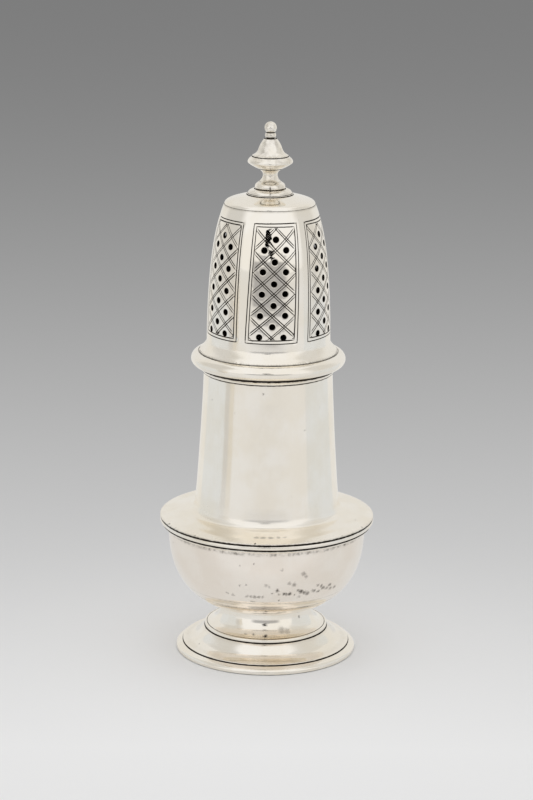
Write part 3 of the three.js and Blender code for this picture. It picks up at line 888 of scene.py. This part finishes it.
def piercedWall():
    seat, height = seatOf("cover_wall"), sizeOf("cover_wall")[1]
    pull = random.Random(panelCut["seed"])
    points, faces, tarnishAndShade = [], [], []
    for index in range(panelCut["count"]):
        flat, triangles, depth, dark, halfWide, perDegree, middle = sector(index, pull)
        first, count = len(points), len(flat)
        outside, inside = [], []
        for (x, y), deep in zip(flat, depth):
            turn = math.radians(middle + x / perDegree) - math.pi / 2
            radius = wallRadiusAt(y)
            wave = 0.5 + 0.5 * noise.noise(Vector((x / 5, y / 5, 7.0 * index)))
            edges = smoothFall(abs(x) / halfWide) * min(1, max(0, y - 4), max(0, height - y - 2) / 2)
            outer = radius - deep * min(1, max(0, y - 4)) - 0.05 * wave * edges
            outside.append((outer * math.cos(turn), outer * math.sin(turn), seat + y))
            inner = radius - coverSheet
            inside.append((inner * math.cos(turn), inner * math.sin(turn), seat + y))
        points += outside + inside
        edgeDark = [panelCut["topDark"] * smoothFall((height - y) / 0.3)
                    + panelCut["flareDark"] * smoothFall(y / 0.3) for _, y in flat]
        tarnishAndShade += [max(a, b) for a, b in zip(dark, edgeDark)] + [0.85] * count
        faces += [(first + a, first + b, first + c) for a, b, c in triangles]
        faces += [(first + count + c, first + count + b, first + count + a) for a, b, c in triangles]
        used = dict.fromkeys(edge for a, b, c in triangles for edge in ((a, b), (b, c), (c, a)))
        for a, b in used:
            onSeam = abs(abs(flat[a][0]) - halfWide) < 1e-4 and abs(flat[a][0] - flat[b][0]) < 1e-4
            if (b, a) not in used and not onSeam:
                faces.append((first + b, first + a, first + count + a, first + count + b))
    piece = meshPiece("piercedWall", points, faces, tarnishAndShade)
    shell = bmesh.new()
    shell.from_mesh(piece.data)
    bmesh.ops.remove_doubles(shell, verts=shell.verts, dist=0.0004 * mm)
    shell.to_mesh(piece.data)
    shell.free()
    piece.data.set_sharp_from_angle(angle=math.radians(panelCut["crease"]))
    return piece


turnPiece("coverRimWire", coverRim, rimSize, "cover_rim", raisedSilver, "cover")
turnPiece("coverSleeveSheet", coverSleeve, sleeveSize, "cover_sleeve", innerSilver, "cover")
wall = dress(piercedWall(), "cover", "cover_wall", engravedSilver)
print("cover wall made:", len(wall.data.vertices), "points")


# cap and finial; a finial line is (radius, height), or how far from the piece's own radius, and height

capSize = {
    "edgeRise": 1.3, "crownDrop": 1.3, "crownReach": 5.2,
    "edgeDark": (0.22, 0.45), "topDark": (0.4, 0.8),
    # where the solder under the cap has pulled away
    "stains": ((-23, 149.3, 0.6, 1.0), (8, 149.2, 0.55, 0.8), (13, 149.2, 0.7, 1.0), (17.5, 149.2, 0.5, 0.8)),
    "stainRadius": 15.5,
    "turning": {"dents": (0.3, 0.1, 0.8, 0.05, 7)},
}


def capSheet(r, h, size):
    base, bore = sizeOf("finial_base")[0], baseSize["stud"] + baseSize["slip"]
    dome = bend([(r, 0), (r, size["edgeRise"]), (base + size["crownReach"], h - size["crownDrop"]),
                 (base, h)], 28)
    under = inward(dome, coverSheet, 0.6)
    outline = joined(dome, [(bore, h), (bore, h - coverSheet, 0.6)], under[1:-1],
                     [(r - coverSheet, 0, 0.6)])
    marks = [(r, -0.05, *size["edgeDark"]), (base, h, *size["topDark"])]
    return outline, marks


baseSize = {
    "stud": 1.5, "studLength": 3.2, "slip": 0.1, "edge": 0.3, "step": 0.35,
    "stepDark": (0.2, 0.8), "footDark": (0.25, 0.8), "topDark": (0.35, 1.0),
    "turning": {"sides": 96, "longest": 0.5, "seam": (3.9, 4.4, 0.6)},
}


def finialBase(r, h, size):
    # drawn from the end of the stud, which hangs under the disc
    stud, disc, edge = size["stud"], size["studLength"], size["edge"]
    upper, foot, step = r - size["step"], sizeOf("finial_stalk")[0], disc + edge
    outline = joined(
        [(0, 0), (stud - 0.2, 0), (stud, 0.2), (stud, disc), (r - 0.1, disc)],
        arc((r - 0.12, disc + edge / 2), (0.12, edge / 2), -90, 90, 6),
        [(upper, step)],
        arc((foot, step + 0.05), (upper - foot, h - step - 0.05), 0, 90, 14),
        [(0, h)],
    )
    marks = [(upper + 0.05, step, *size["stepDark"]), (r, disc, *size["footDark"]),
             (foot + 0.1, h, *size["topDark"])]
    return outline, marks


stalkSize = {
    "disc": ((-0.35, 0), (-0.05, 0.1), (0.08, 0.75), (-0.12, 1.35), (-0.55, 1.8)),
    "waist": ((3.3, 2.45), (2.75, 3.1), (2.42, 3.8), (2.3, 4.45), (2.43, 5.1), (2.8, 5.75)), "top": 3.95,
    "footDark": (0.4, 1.0), "topDark": (0.4, 1.0), "waistDark": (0.7, 0.32),
    "turning": {"sides": 96, "longest": 0.4, "seam": (0.2, 1.3, 0.6)},
}


def finialStalk(r, h, size):
    disc = [(r + off, up) for off, up in size["disc"]]
    outline = joined([(0, 0)], disc[:1], flowing([*disc, *size["waist"], (size["top"], h)], 6), [(0, h)])
    marks = [(r - 0.5, 0, *size["footDark"]), (size["top"], h, *size["topDark"]),
             (3.4, 2.3, *size["waistDark"])]
    return outline, marks


knopSize = {
    "low": ((5.05, 0.5), (6.15, 1.15)), "belly": ((-0.2, 1.8), (0, 2.3), (-0.4, 3.15)), "top": 5.9,
    "footDark": (0.5, 1.0), "topDark": (0.35, 1.0),
    "turning": {"sides": 96, "longest": 0.4},
}


def finialKnop(r, h, size):
    top, foot = size["top"], stalkSize["top"]
    belly = [(r + off, up) for off, up in size["belly"]]
    outline = joined([(0, 0)], flowing([(foot, 0), *size["low"], *belly, (top, h)], 6), [(0, h)])
    marks = [(foot, 0, *size["footDark"]), (top - 0.1, h, *size["topDark"])]
    return outline, marks


bellSize = {
    "lip": 0.16, "top": 1.95,
    "line": ((4.8, 0.8), (4.25, 1.4), (3.9, 2.05), (3.7, 2.7), (3.45, 3.3), (3.15, 3.95), (2.75, 4.6),
             (2.3, 5.2)),
    "footDark": (0.3, 1.0), "lipDark": (0.14, 0.4), "topDark": (0.45, 1.0),
    "turning": {"sides": 96, "longest": 0.4},
}


def finialBell(r, h, size):
    lip, top = size["lip"], size["top"]
    outline = joined(
        [(0, 0), (r - 0.15, 0)],
        arc((r - lip, lip), (lip, lip), -90, 60, 6),
        flowing([(r - 0.25, 0.33), *size["line"], (top, h)], 5),
        [(0, h)],
    )
    marks = [(r - 0.1, 0, *size["footDark"]), (r - 0.3, 0.34, *size["lipDark"]), (top, h, *size["topDark"])]
    return outline, marks


ballSize = {
    "collar": 1.75, "collarRound": 0.55, "collarRise": 1.75, "neck": 1.2,
    "footDark": (0.6, 1.0), "neckDark": (0.5, 1.0),
    "turning": {"sides": 64, "longest": 0.3},
}


def finialBall(r, h, size):
    neck, tall, bulge = size["neck"], size["collarRise"], size["collarRound"]
    centre = tall + math.sqrt(r ** 2 - neck ** 2)
    outline = joined(
        [(0, 0), (neck, 0)],
        arc((size["collar"] - bulge, tall / 2), (bulge, tall / 2), -90, 90, 12),
        [(neck, tall)],
        arc((0, centre), (r, r), -math.degrees(math.acos(neck / r)), 89.99, 26)[:-1],
        [(0, h)],
    )
    outline[-1] = (0, h, 0)  # the last point stays on the axis
    marks = [(neck + 0.1, 0, *size["footDark"]), (neck, tall, *size["neckDark"])]
    return outline, marks


# dark specks at its joint, and smaller waves, because it was raised from a smaller piece of sheet
capSilver = silver("raised sterling silver, open at its solder", spots=capSize["stains"],
                   spotRadius=lambda up: capSize["stainRadius"], dentSize=5, dentDepth=0.03)
turnPiece("capSheet", capSheet, capSize, "cap", capSilver, "cover")
for name, draw, size, node in (("finialBaseDisc", finialBase, baseSize, "finial_base"),
                               ("finialStalk", finialStalk, stalkSize, "finial_stalk"),
                               ("finialKnop", finialKnop, knopSize, "finial_knop"),
                               ("finialBell", finialBell, bellSize, "finial_bell"),
                               ("finialBall", finialBall, ballSize, "finial_ball")):
    turnPiece(name, draw, size, node, castSilver, "cover")
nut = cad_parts["finial_nut"]
nut.data.materials.clear()
nut.data.materials.append(innerSilver)
print("cap and finial made")


# floor, cards, light and camera

stageLook = {
    # the paper is palest in front and falls off behind: its value at Y is far + near * exp(-Y / fade)
    "floorFar": 0.215, "floorNear": 0.515, "floorFade": 0.48, "floorMost": 0.84,
    "paintedBounce": 0.17, "paintedBounceReach": 0.085,  # a painted pool of light round the foot, for the light that the polished foot throws back on the paper
    "floorReach": 12,
    "world": "#F6F6F6",
    "lampSize": 1.2, "lampPlace": (0.12, -0.1, 1.1), "lampTilt": (-0.1, 0.12, 0), "lampGlow": 0.07,
    "glowCard": "#DDDDDC", "darkCard": "#040404",
    "glowReach": (-0.5, 0.5, -0.1, 0.5), "glowFade": (("Y", 0.14),),
    "darkAt": -0.87,
    # upright cards that glow and that only the metal sees, standing in for lit paper: its name, x from and
    # to, y from and to, z from and to, glow colour, how its edges clear
    "cards": (
        ("leftCard", -0.17, -0.17, -0.045, 0.13, -0.04, 0.13, "#DDE0E2", (("Z", 0.3),)),
        ("leftEdgeCard", -0.17, -0.17, -0.075, -0.045, 0.005, 0.13, "#D0CFCD", (("Z", 0.3),)),
        ("leftDimCard", -0.17, -0.17, -0.105, -0.075, 0.005, 0.13, "#DCD8D0", (("Z", 0.3),)),
        ("rightCard", 0.17, 0.17, -0.078, 0.13, -0.04, 0.13, "#DDE0E2", (("Z", 0.3),)),
        ("backCard", -0.6, 0.6, 0.13, 0.13, 0, 0.6, "#E7E6E3", ()),
        ("farCard", -0.5, 0.5, -0.62, -0.62, 0, 0.2, "#B0B0B2", (("X", 0.22), ("Z", 0.25))),
        ("leftHighCard", -0.18, -0.18, -0.13, 0.13, 0.07, 0.4, "#D3D2CF", (("Y", 0.3), ("Z", 0.2))),
        ("rightHighCard", 0.18, 0.18, -0.13, 0.13, 0.07, 0.4, "#DAD9D6", (("Y", 0.3), ("Z", 0.2))),
    ),
    # half of the dark card's outline down each side, in metres, listed point by point: (x, z)
    "darkLeft": ((-0.09, 0.465), (-0.12, 0.411), (-0.1, 0.36), (-0.14, 0.306), (-0.06, 0.267),
                 (0.03, 0.233), (-0.01, 0.2)),
    "darkRight": ((0.08, 0.195), (0.17, 0.237), (0.05, 0.263), (-0.03, 0.305), (0.08, 0.35),
                  (0.01, 0.41), (0.08, 0.465)),
}


def floorMaterial():
    # seamless paper, matt: no gloss; its tone is graded from front to back, and a painted pool of light
    # brightens it round the foot
    look = stageLook
    material, add = emptyMaterial("seamless paper, matt")
    place = add("TexCoord").outputs["Object"]
    back = add("SeparateXYZ", {"Vector": place}).outputs["Y"]
    power = add("Math", {0: math.exp(-1 / look["floorFade"]), 1: back}, operation="POWER")
    value = add("Math", {0: power, 1: look["floorNear"], 2: look["floorFar"]}, operation="MULTIPLY_ADD")
    capped = add("Math", {0: value, 1: look["floorMost"]}, operation="MINIMUM")
    # painted light: the paper's colour is made paler round the foot, where the polished metal would throw
    # light back
    near = add("VectorMath", {0: place, "Scale": 1 / look["paintedBounceReach"]}, operation="SCALE")
    square = add("VectorMath", {0: near, 1: near}, operation="DOT_PRODUCT")
    paintedPool = add("Math", {0: math.exp(-1), 1: square}, operation="POWER")
    paintedLift = add("Math", {0: paintedPool, 1: look["paintedBounce"], 2: 1}, operation="MULTIPLY_ADD")
    tone = add("Math", {0: capped, 1: paintedLift}, operation="MULTIPLY")
    shader = add("BsdfPrincipled", {"Base Color": tone, "Roughness": 0.95, "Specular IOR Level": 0})
    add("OutputMaterial", {"Surface": shader})
    return material


def stagePlane(name, corners, material):
    mesh = bpy.data.meshes.new(name)
    mesh.from_pydata(corners, [], [tuple(range(len(corners)))])
    mesh.materials.append(material)
    plane = bpy.data.objects.new(name, mesh)
    scene.collection.objects.link(plane)
    return plane


def card(name, corners, colour, soft=()):
    # a card that only the polished metal sees, coloured by its own glow rather than lit by the lamps, so it
    # is a painted reflection; soft is (axis, share of the card over which it clears)
    material, add = emptyMaterial(name + " glow")
    surface = add("Emission", {"Color": hexColour(colour)})
    if soft:
        axes = add("SeparateXYZ", {"Vector": add("TexCoord").outputs["Generated"]})
        cover = 1
        for axis, share in soft:
            off = add("Math", {0: axes.outputs[axis], 1: 0.5}, operation="SUBTRACT")
            far = add("Math", {0: off}, operation="ABSOLUTE")
            edge = add("MapRange", {"Value": far, "From Min": 0.5 - share, "From Max": 0.5, "To Min": 1,
                                    "To Max": 0}, interpolation_type="SMOOTHSTEP")
            cover = add("Math", {0: edge, 1: cover}, operation="MULTIPLY")
        surface = add("MixShader", {0: cover, 1: add("BsdfTransparent"), 2: surface})
    add("OutputMaterial", {"Surface": surface})
    plane = stagePlane(name, corners, material)
    plane.visible_camera = plane.visible_diffuse = plane.visible_shadow = False


def levelCorners(x0, x1, y0, y1, z):
    return [(x0, y0, z), (x1, y0, z), (x1, y1, z), (x0, y1, z)]


reach = stageLook["floorReach"]
stagePlane("floor", levelCorners(-reach, reach, -reach, reach, 0), floorMaterial())
for name, x0, x1, y0, y1, z0, z1, colour, soft in stageLook["cards"]:
    card(name, [(x0, y0, z0), (x1, y1, z0), (x1, y1, z1), (x0, y0, z1)], colour, soft)
# a glowing sheet on the floor that only the metal sees: a painted reflection of the paper, brighter than the
# real floor and without its shadow
card("floorGlow", levelCorners(*stageLook["glowReach"], 0.001), stageLook["glowCard"], stageLook["glowFade"])
darkOutline = [(x, stageLook["darkAt"], z) for x, z in stageLook["darkLeft"] + stageLook["darkRight"]]
card("darkCard", darkOutline, stageLook["darkCard"])

scene.world = bpy.data.worlds.new("soft room")
scene.world.use_nodes = True
scene.world.node_tree.nodes["Background"].inputs["Color"].default_value = hexColour(stageLook["world"])

lamp = bpy.data.lights.new("overhead softbox", "AREA")
lamp.shape = "SQUARE"
lamp.size = stageLook["lampSize"]
lamp.energy = stageLook["lampGlow"] * math.pi * stageLook["lampSize"] ** 2
lampObject = bpy.data.objects.new("overhead softbox", lamp)
lampObject.location = stageLook["lampPlace"]
lampObject.rotation_euler = stageLook["lampTilt"]
lampObject.visible_glossy = False  # the metal sees the even room, not the lamp's edges
scene.collection.objects.link(lampObject)

cameraPlace = {
    "location": (0.00014, -0.85098, 0.30341),
    "yaw": -0.0007, "down": 0.2521, "roll": 0.0101,  # radians
    "lens": 121.5, "sensor": 36,  # mm
    "clip": (0.01, 60),
}


def makeCamera():
    data = bpy.data.cameras.new("camera")
    data.lens, data.sensor_width = cameraPlace["lens"], cameraPlace["sensor"]
    data.clip_start, data.clip_end = cameraPlace["clip"]
    camera = bpy.data.objects.new("camera", data)
    turn = Matrix.Rotation(-cameraPlace["yaw"], 4, "Z")
    tip = Matrix.Rotation(math.pi / 2 - cameraPlace["down"], 4, "X")
    roll = Matrix.Rotation(cameraPlace["roll"], 4, "Z")
    camera.matrix_world = Matrix.Translation(cameraPlace["location"]) @ turn @ tip @ roll
    scene.collection.objects.link(camera)
    scene.camera = camera


makeCamera()
scene.view_settings.view_transform = "Standard"
print("stage, light and camera made")
